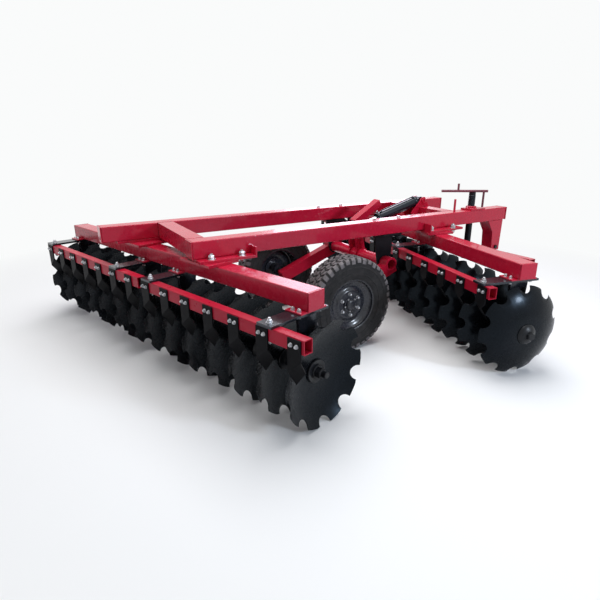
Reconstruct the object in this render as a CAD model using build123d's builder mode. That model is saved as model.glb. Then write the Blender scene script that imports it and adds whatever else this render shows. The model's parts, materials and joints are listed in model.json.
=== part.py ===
from build123d import *
import os
from math import asin, atan2, cos, degrees, hypot, radians, sin, sqrt, tan

# Offset disc harrow, millimetres. X is forward, Y is left, Z is up, and the origin is on the ground
# below the middle of the frame. Each gang has a frame of its own: t along the gang to the right,
# then forward square to it, then up.

# Frame beams
BEAM = 120
BEAM_WALL = 8
BEAM_TOP = 977
BEAM_Y = 428
RIGHT_REAR_X = -1186
LEFT_REAR_X = -1606
BEAM_FRONT_X = 1976
CAP = 8
CAP_LIP = 5
REAR_CROSS_SHIFT = 64
REAR_CROSS_X = RIGHT_REAR_X + REAR_CROSS_SHIFT
MID_CROSS_X = 1290

# Gangs
GANG_BEAM = 110
GANG_WIDE = 132
GANG_AHEAD = 10
GANG_WALL = 8
REAR_X = -1178
REAR_ANGLE = 16
FRONT_X = 1129
FRONT_ANGLE = 13
REAR_BEAM_NEAR = 1410
REAR_BEAM_FAR = -1620
FRONT_BEAM_NEAR = 1640
FRONT_BEAM_FAR = -1410
PLATE = 18.5

# Pivot plates between the frame and the gang beams
PLATE_IN = 60
PLATE_OUT = 140
PLATE_FLANGE = 12
PLATE_FLANGE_HIGH = 56
LOWER_PLATE_LONG = 330
LOWER_PLATE_DEEP = 250

# Discs
DISC_RADIUS = 330
DISC_PITCH = 240
DISC_DEPTH = 85
DISC_THICK = 6
DISC_FLAT = 78
DISC_MID = 222
NOTCHES = 10
NOTCH_RADIUS = 48
NOTCH_SWING = 50
PHASE_STEP = 90
DISCS_A_SIDE = 7
REAR_FIRST_RIM = 1503
FRONT_FIRST_RIM = 1622
REAR_AXLE_AHEAD = 2
FRONT_AXLE_AHEAD = 10

# Axle of a side gang
SHAFT = 40
SHAFT_HOLE = 41
SPOOL_DIA = 84
JOURNAL_DIA = 70
SPOOL_SIDES = 10
END_FLANGE_DIA = 146
END_FLANGE = 14
END_NUT = 62
END_NUT_LONG = 46
SHAFT_END = 32
DOME_DIA = 146
DOME_HIGH = 34
DOME_TAPER = 38

# Hangers that carry a gang
REAR_ARM_SHIFT = 158
FRONT_ARM_SHIFT = 183
ARM_SPAN = 5
ARM_PLATE_WIDE = 114
ARM_PLATE = 16
ARM_BACK = 326
ARM_AHEAD = 132
STANDARD = 26
STANDARD_TOP = 150
STANDARD_LOW = 96
HOUSING_DIA = 138
HOUSING_LONG = 80
HOUSING_SIDES = 8
HOUSING_GAP = 0.4
LUG_PLATE = 10
LUG_WIDE = 126
LUG_LONG = 212

# Scraper beams and scrapers
SCRAPER_BEAM_HIGH = 80
SCRAPER_BEAM_DEEP = 62
SCRAPER_BEAM_WALL = 5
SCRAPER_BACK = 314
SCRAPER_HALF = 47
SCRAPER_THICK = 8
SCRAPER_TOP_DROP = 6
SCRAPER_FOLD = 45
FOLD_LOW = 203
FOLD_HIGH = 124
FOLD_SLOPE = atan2(FOLD_LOW - FOLD_HIGH, 2 * SCRAPER_HALF)
FRONT_POINT_IN = 42
REAR_SCRAPER_SHIFT = 57
FRONT_SCRAPER_SHIFT = -22
SCRAPER_PLATE = (
    # across, drop under the hangers' top plates
    (-SCRAPER_HALF, SCRAPER_TOP_DROP),
    (SCRAPER_HALF, SCRAPER_TOP_DROP),
    (SCRAPER_HALF, FOLD_HIGH),
)
REAR_PLATE_LOW = ((-SCRAPER_HALF, FOLD_LOW),)
REAR_BLADE = (
    # across, drop, before the blade is folded forward
    (-SCRAPER_HALF, FOLD_LOW),
    (SCRAPER_HALF, FOLD_HIGH),
    (SCRAPER_HALF, 226),
    (-38, 341),
)
FRONT_FOLD_END = (FRONT_POINT_IN - SCRAPER_HALF, FOLD_LOW - FRONT_POINT_IN * tan(FOLD_SLOPE))
FRONT_PLATE_LOW = (FRONT_FOLD_END, (-SCRAPER_HALF, FOLD_HIGH))
FRONT_BLADE = (
    # across, drop, before the blade is folded forward
    FRONT_FOLD_END,
    (SCRAPER_HALF, FOLD_HIGH),
    (SCRAPER_HALF, 226),
    (20, 284),
)

# Lift
ROCK_X = 540
ROCK_Z = 590
ROCK_DIA = 108
ROCK_BORE = 88
ROCK_PAST_BEAM = 56
ROCK_PAST_ARM = 4
ARM_SECTION = 80
ARM_HIGH = 108
ARM_DROP = 30
ARM_RING_DIA = 124
RING_SIDES = 12
SHAFT_HANGER_IN = 56
SHAFT_HANGER_THICK = 18
SHAFT_HANGER_BOSS = 140
SHAFT_HANGER_FOOT = 14
SHAFT_HANGER_FOOT_LONG = 200
SHAFT_HANGER_FOOT_BACK = 12
SHAFT_HANGER_GAP = 1
LEVER_Y = 52
LEVER_THICK = 16
LEVER_WIDE = 106
LEVER_TIP_WIDE = 70
LEVER_RING_DIA = 150
LEVER_SIDES = 10
EYE_X = 500
EYE_Z = 830
PIN_DIA = 30
PIN_GAP = 0.5

# Wheels
WHEEL_X = -15
WHEEL_PAST_ARM = 117
TYRE_RADIUS = 380
SPINDLE_DIA = 50
SPINDLE_LONG = 170
TYRE_HALF = (
    # across, radius
    (80, 203),
    (88, 220),
    (100, 298),
    (94, 374),
    (68, TYRE_RADIUS),
)
RIM_PROFILE = (
    # across, radius
    (-88, 220),
    (-80, 203),
    (80, 203),
    (88, 220),
    (88, 195),
    (44, 195),
    (52, 112),
    (52, 60),
    (44, 60),
    (44, 112),
    (34, 195),
    (-88, 195),
)
HUB_PROFILE = (
    # across, radius
    (-68, 26),
    (-68, 55),
    (30, 55),
    (30, 100),
    (44, 100),
    (44, 60),
    (64, 60),
    (80, 38),
    (80, 0),
    (62, 0),
    (62, 26),
)

# Cylinder
MAST_SHIFT = 15
MAST_Z = 1040
MAST_Y = 57
MAST_THICK = 14
MAST_TIP = 72
MAST_TIP_FLAT = 18
MAST_TIP_HIGH = 31
MAST_BACK = 100
BARREL_DIA = 90
BARREL_BORE = 72
BARREL_START = 44
BARREL_CAP = 26
BARREL_LONG = 540
BARREL_EYE_DIA = 64
BARREL_NECK_WIDE = 51
EYE_WIDE = 50
EYE_SIDES = 12
ROD_DIA = 45
ROD_GAP = 1
ROD_INSIDE = 200
ROD_EYE_DIA = 60
EYE_SIDE_GAP = 1
LOCK_WIDE = 78
LOCK_WALL = 6
LOCK_TILT = 31
LOCK_START = 40
LOCK_END = 334
LOCK_LOW = 26
LOCK_HIGH = 86
LOCK_EAR = 56

# Hitch and levelling screw
HITCH_DROP = 300
HITCH_PLATE = 12
HITCH_HOLE_DIA = 36
HITCH_HOLE_UP = 34
HITCH_FRONT_X = 1950
HITCH_TOP_LONG = 210
HITCH_MID_LONG = 135
HITCH_MID_DROP = 114
HITCH_LOW_LONG = 120
HITCH_LOW_BACK = 10
HITCH_LUG = 70
BAR_HALF = 915
BAR_SECTION = 70
BAR_WALL = 6
BAR_GAP = 4
LINK_WIDE = 60
LINK_HIGH = 24
TONGUE_BOLT_Y = 110
TONGUE_BOLT_DIA = 26
PIN_HEAD = 14
SCREW_X = 1535
SCREW_DIA = 60
SCREW_TOP = 1136
SCREW_PLATE = 14
SCREW_PLATE_SHIFT = 30
SCREW_PLATE_LONG = 190
SCREW_PLATE_WIDE = 128
STOWED_PIN_X = 1313
STOWED_PIN_HIGH = 110
CRANK_LEFT = 290
CRANK_RIGHT = 140
CRANK_DIA = 24
CRANK_TURN = -32
PEG_DIA = 20
CRANK_PEGS = (
    # along the crank, length, up or down
    (-135, 68, 1),
    (105, 148, -1),
)

BEAM_LOW = BEAM_TOP - BEAM
BEAM_MID = BEAM_TOP - BEAM / 2
ROCK_HALF = BEAM_Y + ROCK_PAST_BEAM
ARM_Y = ROCK_HALF - ROCK_PAST_ARM - ARM_SECTION / 2
SHAFT_HANGER_Y = BEAM_Y - SHAFT_HANGER_IN
WHEEL_Y = ARM_Y + ARM_SECTION / 2 + WHEEL_PAST_ARM
MAST_X = MID_CROSS_X - MAST_SHIFT
GANG_TOP = BEAM_LOW - 2 * PLATE
GANG_MID = GANG_TOP - GANG_BEAM / 2
GANG_LOW = GANG_TOP - GANG_BEAM
ARM_TOP = GANG_LOW - LUG_PLATE
ARM_LOW = ARM_TOP - ARM_PLATE
AXLE_Z = DISC_RADIUS
WHEEL_Z = TYRE_RADIUS

os.makedirs("parts", exist_ok=True)


def gang_frame(x, angle):
    """Frame of a gang whose right end leans by angle: local X to the right, Y forward, Z up."""
    lean = radians(angle)
    return Plane(origin=(x, 0, 0), x_dir=(sin(lean), -cos(lean), 0), z_dir=(0, 0, 1))


REAR = gang_frame(REAR_X, REAR_ANGLE)
FRONT = gang_frame(FRONT_X, -FRONT_ANGLE)


def across(frame, t, ahead, up):
    """Plane square to the gang at t, its X forward and its Y up."""
    origin = frame.from_local_coords(Vector(t, ahead, up))
    return Plane(origin=origin, x_dir=frame.y_dir, z_dir=frame.x_dir)


def level(frame, up):
    """Level plane of the gang's frame at a height."""
    return Plane(origin=frame.origin + Vector(0, 0, up), x_dir=frame.x_dir, z_dir=(0, 0, 1))


def side_plane(y):
    """Upright plane along the machine at y, its X forward and its Y up, facing right."""
    return Plane.XZ.offset(-y)


def save(part, name):
    """Label a finished piece and write it."""
    part.label = name
    export_step(part, f"parts/{name}.step")


# Longitudinal beams, square tubes; the right one has a hole for the levelling screw
for name, side, rear_x in (("right_beam", -1, RIGHT_REAR_X), ("left_beam", 1, LEFT_REAR_X)):
    with BuildPart() as beam:
        with BuildSketch(Plane.YZ.offset(rear_x)):
            with Locations((side * BEAM_Y, BEAM_MID)):
                Rectangle(BEAM, BEAM)
                Rectangle(BEAM - 2 * BEAM_WALL, BEAM - 2 * BEAM_WALL, mode=Mode.SUBTRACT)
        extrude(amount=BEAM_FRONT_X - rear_x)
        if side < 0:
            with BuildSketch(Plane.XY.offset(BEAM_LOW)):
                with Locations((SCREW_X, side * BEAM_Y)):
                    Circle(SCREW_DIA / 2 + PIN_GAP)
            extrude(amount=BEAM, mode=Mode.SUBTRACT)
    save(beam.part, name)

# Cross beams between the longitudinal ones
for name, cross_x in (("rear_cross_beam", REAR_CROSS_X), ("mid_cross_beam", MID_CROSS_X)):
    with BuildPart() as cross:
        with BuildSketch(side_plane(BEAM_Y - BEAM / 2)):
            with Locations((cross_x, BEAM_MID)):
                Rectangle(BEAM, BEAM)
                Rectangle(BEAM - 2 * BEAM_WALL, BEAM - 2 * BEAM_WALL, mode=Mode.SUBTRACT)
        extrude(amount=2 * BEAM_Y - BEAM)
    save(cross.part, name)

# Gang beams
GANGS = (
    # name, frame, near end, far end, lean
    ("rear", REAR, REAR_BEAM_NEAR, REAR_BEAM_FAR, REAR_ANGLE),
    ("front", FRONT, FRONT_BEAM_NEAR, FRONT_BEAM_FAR, -FRONT_ANGLE),
)
for name, frame, near, far, lean in GANGS:
    with BuildPart() as gang_beam:
        with BuildSketch(across(frame, far, GANG_AHEAD, GANG_MID)):
            Rectangle(GANG_WIDE, GANG_BEAM)
            Rectangle(GANG_WIDE - 2 * GANG_WALL, GANG_BEAM - 2 * GANG_WALL, mode=Mode.SUBTRACT)
        extrude(amount=near - far)
    save(gang_beam.part, f"{name}_gang_beam")

# End caps of the longitudinal beams and of the gang beams
with BuildPart() as end_caps:
    for side, rear_x in ((-1, RIGHT_REAR_X), (1, LEFT_REAR_X)):
        for cap_x in (rear_x - CAP, BEAM_FRONT_X):
            with BuildSketch(Plane.YZ.offset(cap_x)):
                with Locations((side * BEAM_Y, BEAM_MID)):
                    Rectangle(BEAM + 2 * CAP_LIP, BEAM)
            extrude(amount=CAP)
    for name, frame, near, far, lean in GANGS:
        for cap_t in (far - CAP, near):
            with BuildSketch(across(frame, cap_t, GANG_AHEAD, GANG_MID)):
                Rectangle(GANG_WIDE, GANG_BEAM)
            extrude(amount=CAP)
save(end_caps.part, "end_caps")

# Pivot plates: an upper one under each longitudinal beam and a lower one on the gang beam
UPPER_PLATES = (
    # name, side, rear x, front x, x of the upturned flange
    ("rear", -1, -1168, -760, -760),
    ("rear", 1, -1500, -1092, -1092),
    ("front", -1, 885, 1290, 885),
    ("front", 1, 1083, 1488, 1083),
)
for gang in ("rear", "front"):
    with BuildPart() as upper:
        for name, side, rear_x, front_x, flange_x in UPPER_PLATES:
            if name != gang:
                continue
            inward = 1 if flange_x == rear_x else -1
            mid_y = side * (BEAM_Y + (PLATE_OUT - PLATE_IN) / 2)
            flange_y = side * (BEAM_Y + (PLATE_OUT + BEAM / 2) / 2)
            with BuildSketch(Plane.XY.offset(BEAM_LOW - PLATE)):
                with Locations(((rear_x + front_x) / 2, mid_y)):
                    Rectangle(front_x - rear_x, PLATE_IN + PLATE_OUT)
            extrude(amount=PLATE)
            with BuildSketch(Plane.XY.offset(BEAM_LOW)):
                with Locations((flange_x + inward * PLATE_FLANGE / 2, flange_y)):
                    Rectangle(PLATE_FLANGE, PLATE_OUT - BEAM / 2)
            extrude(amount=PLATE_FLANGE_HIGH)
    save(upper.part, f"{gang}_upper_pivot_plates")

for name, frame, near, far, lean in GANGS:
    with BuildPart() as lower:
        with BuildSketch(level(frame, GANG_TOP)):
            for side in (-1, 1):
                with Locations((-side * BEAM_Y / cos(radians(lean)), 0)):
                    Rectangle(LOWER_PLATE_LONG, LOWER_PLATE_DEEP)
        extrude(amount=PLATE)
    save(lower.part, f"{name}_lower_pivot_plates")


def dish(radius):
    """How far the concave face lies behind the rim plane, with a flat centre and a round dish."""
    span = DISC_RADIUS - DISC_FLAT
    bend = (DISC_DEPTH ** 2 + span ** 2) / (2 * DISC_DEPTH)
    return bend - sqrt(bend ** 2 - (radius - DISC_FLAT) ** 2) - DISC_DEPTH


def disc_point(radius, angle, back=0):
    """Point on the disc's concave face, or behind it by back."""
    turn = radians(angle)
    return Vector(dish(radius) - back, radius * cos(turn), radius * sin(turn))


def notch_point(middle, swing):
    """Point on a round notch whose centre is on the rim; swing is 0 at its floor."""
    aside = NOTCH_RADIUS * sin(radians(swing))
    out = DISC_RADIUS - NOTCH_RADIUS * cos(radians(swing))
    return disc_point(hypot(out, aside), middle + degrees(atan2(aside, out)))


def triangle(a, b, c):
    """Flat face with three corners."""
    return Face(Wire.make_polygon([a, b, c]))


# Disc about X, concave face towards +X, rim plane at X = 0, thinning to an edge at its notched rim
SECTOR = 360 / NOTCHES
MOUTH = degrees(2 * asin(NOTCH_RADIUS / (2 * DISC_RADIUS)))
disc_faces = []
for back in (0, DISC_THICK):
    for i in range(NOTCHES):
        start = i * SECTOR
        middle = start + SECTOR / 2
        end = start + SECTOR
        hub_a = disc_point(DISC_FLAT, start, back)
        hub_b = disc_point(DISC_FLAT, end, back)
        mid_a = disc_point(DISC_MID, start, back)
        mid_n = disc_point(DISC_MID, middle, back)
        mid_b = disc_point(DISC_MID, end, back)
        rim_a = disc_point(DISC_RADIUS, start)
        land_a = disc_point(DISC_RADIUS, middle - MOUTH)
        side_a = notch_point(middle, -NOTCH_SWING)
        floor = notch_point(middle, 0)
        side_b = notch_point(middle, NOTCH_SWING)
        land_b = disc_point(DISC_RADIUS, middle + MOUTH)
        rim_b = disc_point(DISC_RADIUS, end)
        disc_faces += [
            triangle(hub_a, mid_a, mid_n),
            triangle(hub_a, mid_n, hub_b),
            triangle(hub_b, mid_n, mid_b),
            triangle(mid_a, rim_a, land_a),
            triangle(mid_a, land_a, side_a),
            triangle(mid_a, side_a, mid_n),
            triangle(mid_n, side_a, floor),
            triangle(mid_n, floor, side_b),
            triangle(mid_n, side_b, mid_b),
            triangle(mid_b, side_b, land_b),
            triangle(mid_b, land_b, rim_b),
        ]
    centre = [disc_point(DISC_FLAT, i * SECTOR, back) for i in range(NOTCHES)]
    corners = [
        Vector(dish(DISC_FLAT) - back, a * SHAFT_HOLE / 2, b * SHAFT_HOLE / 2)
        for a, b in ((1, 1), (-1, 1), (-1, -1), (1, -1))
    ]
    disc_faces.append(Face(Wire.make_polygon(centre), [Wire.make_polygon(corners)]))
for i in range(4):
    a = corners[i]
    b = corners[(i + 1) % 4]
    depth = Vector(DISC_THICK, 0, 0)
    disc_faces.append(Face(Wire.make_polygon([a, b, b + depth, a + depth])))
DISC = Solid(Shell(disc_faces))

# Side gangs: seven discs, and spools and end pieces on one square shaft
SIDE_GANGS = (
    # name, frame, first rim plane, way of the concave faces, how far ahead the axle is
    ("rear_right", REAR, REAR_FIRST_RIM, 1, REAR_AXLE_AHEAD),
    ("rear_left", REAR, REAR_FIRST_RIM - DISCS_A_SIDE * DISC_PITCH, 1, REAR_AXLE_AHEAD),
    ("front_right", FRONT, FRONT_FIRST_RIM, -1, FRONT_AXLE_AHEAD),
    ("front_left", FRONT, FRONT_FIRST_RIM - DISCS_A_SIDE * DISC_PITCH, -1, FRONT_AXLE_AHEAD),
)
for name, frame, first_rim, way, ahead in SIDE_GANGS:
    rims = [first_rim - i * DISC_PITCH for i in range(DISCS_A_SIDE)]
    with BuildPart(frame) as discs:
        for i, rim in enumerate(rims):
            turned = DISC.rotate(Axis.Z, 0 if way > 0 else 180).rotate(Axis.X, PHASE_STEP * i)
            with Locations((rim, ahead, AXLE_Z)):
                add(turned)
    save(discs.part, f"{name}_discs")

    hollow_face = [rim - way * DISC_DEPTH for rim in rims]
    dome_face = [rim - way * (DISC_DEPTH + DISC_THICK) for rim in rims]
    hollow_end = max(hollow_face) if way > 0 else min(hollow_face)
    dome_end = min(dome_face) if way > 0 else max(dome_face)
    with BuildPart() as axle:
        for i in range(DISCS_A_SIDE - 1):
            near_face = dome_face[i] if way > 0 else hollow_face[i]
            far_face = hollow_face[i + 1] if way > 0 else dome_face[i + 1]
            with BuildSketch(across(frame, far_face, ahead, AXLE_Z)):
                if i in (0, ARM_SPAN):
                    Circle(JOURNAL_DIA / 2)
                else:
                    RegularPolygon(SPOOL_DIA / 2, SPOOL_SIDES)
            extrude(amount=near_face - far_face)
        # Flange, nut and shaft end on the hollow side
        for start, reach, shape in (
            (0, END_FLANGE, (END_FLANGE_DIA / 2, SPOOL_SIDES)),
            (END_FLANGE, END_NUT_LONG, (END_NUT / 2, 6)),
        ):
            with BuildSketch(across(frame, hollow_end + way * start, ahead, AXLE_Z)):
                RegularPolygon(*shape)
            extrude(amount=way * reach)
        # Domed washer and nut on the other side
        with BuildSketch(across(frame, dome_end, ahead, AXLE_Z)):
            RegularPolygon(DOME_DIA / 2, SPOOL_SIDES)
        extrude(amount=-way * DOME_HIGH, taper=DOME_TAPER)
        with BuildSketch(across(frame, dome_end - way * DOME_HIGH, ahead, AXLE_Z)):
            RegularPolygon(END_NUT / 2, 6)
        extrude(amount=-way * END_NUT_LONG / 2)
        # Square shaft through all of them
        shaft_out = hollow_end + way * (END_FLANGE + END_NUT_LONG + SHAFT_END)
        with BuildSketch(across(frame, dome_end, ahead, AXLE_Z)):
            Rectangle(SHAFT, SHAFT)
        extrude(amount=shaft_out - dome_end)
    save(axle.part, f"{name}_axle")

# Hangers: a top plate over the scraper beam, a standard and a bearing housing, four to a gang
HANGER_T = {
    "rear": [
        REAR_FIRST_RIM - REAR_ARM_SHIFT - (half * DISCS_A_SIDE + i * ARM_SPAN) * DISC_PITCH
        for half in (0, 1)
        for i in (0, 1)
    ],
    "front": [
        FRONT_FIRST_RIM - DISC_PITCH + FRONT_ARM_SHIFT - (half * DISCS_A_SIDE + i * ARM_SPAN) * DISC_PITCH
        for half in (0, 1)
        for i in (0, 1)
    ],
}
for name, frame, near, far, lean in GANGS:
    ahead = REAR_AXLE_AHEAD if name == "rear" else FRONT_AXLE_AHEAD
    with BuildPart() as hangers:
        for t in HANGER_T[name]:
            with BuildSketch(level(frame, ARM_LOW)):
                with Locations((t, (ARM_AHEAD - ARM_BACK) / 2)):
                    Rectangle(ARM_PLATE_WIDE, ARM_AHEAD + ARM_BACK)
            extrude(amount=ARM_PLATE)
            with BuildSketch(across(frame, t - STANDARD / 2, ahead, 0)):
                with BuildLine():
                    Polyline(
                        (-STANDARD_TOP / 2, ARM_LOW),
                        (STANDARD_TOP / 2, ARM_LOW),
                        (STANDARD_LOW / 2, AXLE_Z),
                        (-STANDARD_LOW / 2, AXLE_Z),
                        close=True,
                    )
                make_face()
            extrude(amount=STANDARD)
            with BuildSketch(across(frame, t - HOUSING_LONG / 2, ahead, AXLE_Z)):
                RegularPolygon(HOUSING_DIA / 2, HOUSING_SIDES, rotation=180 / HOUSING_SIDES)
            extrude(amount=HOUSING_LONG)
            with BuildSketch(across(frame, t - HOUSING_LONG, ahead, AXLE_Z)):
                Circle(JOURNAL_DIA / 2 + HOUSING_GAP)
            extrude(amount=2 * HOUSING_LONG, mode=Mode.SUBTRACT)
    save(hangers.part, f"{name}_hangers")

with BuildPart() as lugs:
    for name, frame, near, far, lean in GANGS:
        with BuildSketch(level(frame, ARM_TOP)):
            for t in HANGER_T[name]:
                with Locations((t, 0)):
                    Rectangle(LUG_WIDE, LUG_LONG)
        extrude(amount=LUG_PLATE)
save(lugs.part, "lug_plates")

# Scraper beams, open rectangular tubes under the rear ends of the hangers' top plates
SCRAPER_BEAMS = (
    # name, frame, near and far end of the right one, near and far end of the left one
    ("rear", REAR, REAR_FIRST_RIM, ((121, -1436), (-1488, -3128))),
    ("front", FRONT, FRONT_FIRST_RIM, ((48, -1567), (-1619, -3233))),
)
for name, frame, first_rim, spans in SCRAPER_BEAMS:
    with BuildPart() as scraper_beams:
        for near, far in spans:
            ahead = -SCRAPER_BACK + SCRAPER_BEAM_DEEP / 2
            with BuildSketch(across(frame, first_rim + far, ahead, ARM_LOW - SCRAPER_BEAM_HIGH / 2)):
                Rectangle(SCRAPER_BEAM_DEEP, SCRAPER_BEAM_HIGH)
                Rectangle(
                    SCRAPER_BEAM_DEEP - 2 * SCRAPER_BEAM_WALL,
                    SCRAPER_BEAM_HIGH - 2 * SCRAPER_BEAM_WALL,
                    mode=Mode.SUBTRACT,
                )
            extrude(amount=near - far)
    save(scraper_beams.part, f"{name}_scraper_beams")

# Scrapers: a plate on the beam's rear face, its lower blade folded forward about a slanting line
FOLD = radians(SCRAPER_FOLD)


def in_fold(across_t, drop):
    """Distance along the fold line from its low end, and square to it down the blade."""
    right = across_t + SCRAPER_HALF
    down = drop - FOLD_LOW
    return (
        right * cos(FOLD_SLOPE) - down * sin(FOLD_SLOPE),
        right * sin(FOLD_SLOPE) + down * cos(FOLD_SLOPE),
    )


for name, frame, first_rim, way, shift, plate_low, blade in (
    ("rear", REAR, REAR_FIRST_RIM, 1, REAR_SCRAPER_SHIFT, REAR_PLATE_LOW, REAR_BLADE),
    ("front", FRONT, FRONT_FIRST_RIM, -1, FRONT_SCRAPER_SHIFT, FRONT_PLATE_LOW, FRONT_BLADE),
):
    rear_face = -SCRAPER_BACK - SCRAPER_THICK
    fold_x = frame.x_dir * (way * cos(FOLD_SLOPE)) + Vector(0, 0, sin(FOLD_SLOPE))
    fold_z = (
        frame.x_dir * (-way * sin(FOLD) * sin(FOLD_SLOPE))
        + frame.y_dir * cos(FOLD)
        + Vector(0, 0, sin(FOLD) * cos(FOLD_SLOPE))
    )
    with BuildPart() as scrapers:
        for i in range(2 * DISCS_A_SIDE):
            t = first_rim + shift - i * DISC_PITCH
            face = Plane(
                origin=frame.from_local_coords(Vector(t, rear_face, ARM_LOW)),
                x_dir=frame.x_dir,
                z_dir=-frame.y_dir,
            )
            with BuildSketch(face):
                with BuildLine():
                    Polyline(*[(way * x, -drop) for x, drop in SCRAPER_PLATE + plate_low], close=True)
                make_face()
            extrude(amount=-SCRAPER_THICK)
            fold_low = frame.from_local_coords(Vector(t - way * SCRAPER_HALF, rear_face, ARM_LOW - FOLD_LOW))
            with BuildSketch(Plane(origin=fold_low, x_dir=fold_x, z_dir=fold_z)):
                with BuildLine():
                    Polyline(*[(x, way * y) for x, y in (in_fold(*point) for point in blade)], close=True)
                make_face()
            extrude(amount=SCRAPER_THICK)
    save(scrapers.part, f"{name}_scrapers")

# Rockshaft, a round tube across the machine, with a lever in the middle and an arm at each end
with BuildPart() as rockshaft:
    with BuildSketch(side_plane(ROCK_HALF)):
        with Locations((ROCK_X, ROCK_Z)):
            Circle(ROCK_DIA / 2)
            Circle(ROCK_BORE / 2, mode=Mode.SUBTRACT)
    extrude(amount=2 * ROCK_HALF)
save(rockshaft.part, "rockshaft")

with BuildPart() as lever:
    for side in (-1, 1):
        with BuildSketch(side_plane(side * LEVER_Y + LEVER_THICK / 2)):
            with BuildLine():
                Polyline(
                    (ROCK_X - LEVER_WIDE / 2, ROCK_Z),
                    (ROCK_X + LEVER_WIDE / 2, ROCK_Z),
                    (EYE_X + LEVER_TIP_WIDE / 2, EYE_Z),
                    (EYE_X - LEVER_TIP_WIDE / 2, EYE_Z),
                    close=True,
                )
            make_face()
            with Locations((EYE_X, EYE_Z)):
                RegularPolygon(LEVER_TIP_WIDE / 2, LEVER_SIDES)
            with Locations((ROCK_X, ROCK_Z)):
                RegularPolygon(LEVER_RING_DIA / 2, LEVER_SIDES)
                Circle(ROCK_DIA / 2, mode=Mode.SUBTRACT)
            with Locations((EYE_X, EYE_Z)):
                Circle(PIN_DIA / 2 + PIN_GAP, mode=Mode.SUBTRACT)
        extrude(amount=LEVER_THICK)
save(lever.part, "lift_lever")

# Swing arms, square bars from the rockshaft's ends back and down to the wheels' stub axles
ARM_LONG = hypot(ROCK_X - WHEEL_X, ROCK_Z - WHEEL_Z)
ARM_SLOPE = degrees(atan2(ROCK_Z - WHEEL_Z, ROCK_X - WHEEL_X))
ARM_MID_X = (ROCK_X + WHEEL_X) / 2 + ARM_DROP * sin(radians(ARM_SLOPE))
ARM_MID_Z = (ROCK_Z + WHEEL_Z) / 2 - ARM_DROP * cos(radians(ARM_SLOPE))
with BuildPart() as arms:
    for side in (-1, 1):
        with BuildSketch(side_plane(side * ARM_Y + ARM_SECTION / 2)):
            with Locations((ARM_MID_X, ARM_MID_Z)):
                Rectangle(ARM_LONG + ARM_SECTION, ARM_HIGH, rotation=ARM_SLOPE)
            with Locations((ROCK_X, ROCK_Z)):
                RegularPolygon(ARM_RING_DIA / 2, RING_SIDES)
                Circle(ROCK_DIA / 2, mode=Mode.SUBTRACT)
        extrude(amount=ARM_SECTION)
save(arms.part, "swing_arms")

with BuildPart() as spindles:
    for side in (-1, 1):
        with BuildSketch(side_plane(side * (ARM_Y + ARM_SECTION / 2))):
            with Locations((WHEEL_X, WHEEL_Z)):
                Circle(SPINDLE_DIA / 2)
        extrude(amount=-side * SPINDLE_LONG)
save(spindles.part, "spindles")

# Hangers that carry the rockshaft under the longitudinal beams
FOOT_X = ROCK_X - SHAFT_HANGER_FOOT_BACK
with BuildPart() as shaft_hangers:
    for side in (-1, 1):
        with BuildSketch(Plane.XY.offset(BEAM_LOW - SHAFT_HANGER_FOOT)):
            with Locations((FOOT_X, side * BEAM_Y)):
                Rectangle(SHAFT_HANGER_FOOT_LONG, BEAM)
        extrude(amount=SHAFT_HANGER_FOOT)
        with BuildSketch(side_plane(side * SHAFT_HANGER_Y + SHAFT_HANGER_THICK / 2)):
            with BuildLine():
                Polyline(
                    (FOOT_X - SHAFT_HANGER_FOOT_LONG / 2, BEAM_LOW - SHAFT_HANGER_FOOT),
                    (FOOT_X + SHAFT_HANGER_FOOT_LONG / 2, BEAM_LOW - SHAFT_HANGER_FOOT),
                    (ROCK_X + SHAFT_HANGER_BOSS / 2, ROCK_Z),
                    (ROCK_X - SHAFT_HANGER_BOSS / 2, ROCK_Z),
                    close=True,
                )
            make_face()
            with Locations((ROCK_X, ROCK_Z)):
                RegularPolygon(SHAFT_HANGER_BOSS / 2, RING_SIDES)
                Circle(ROCK_DIA / 2 + SHAFT_HANGER_GAP, mode=Mode.SUBTRACT)
        extrude(amount=SHAFT_HANGER_THICK)
save(shaft_hangers.part, "rockshaft_hangers")

# Wheels, made about X with the outer side towards +X and then turned to their side
TYRE_PROFILE = TYRE_HALF + tuple((-across_x, radius) for across_x, radius in reversed(TYRE_HALF))
wheel_pieces = []
for name, profile in (("tyre", TYRE_PROFILE), ("rim", RIM_PROFILE), ("hub", HUB_PROFILE)):
    with BuildPart() as wheel_piece:
        with BuildSketch(Plane.XY):
            with BuildLine():
                Polyline(*profile, close=True)
            make_face()
        revolve(axis=Axis.X)
    wheel_pieces.append((name, wheel_piece.part))
for name, side in (("right", -1), ("left", 1)):
    wheel_plane = Plane(origin=(WHEEL_X, side * WHEEL_Y, WHEEL_Z), x_dir=(0, side, 0), z_dir=(0, 0, 1))
    for piece_name, piece in wheel_pieces:
        with BuildPart(wheel_plane) as placed:
            add(piece)
        save(placed.part, f"{name}_{piece_name}")

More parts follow.
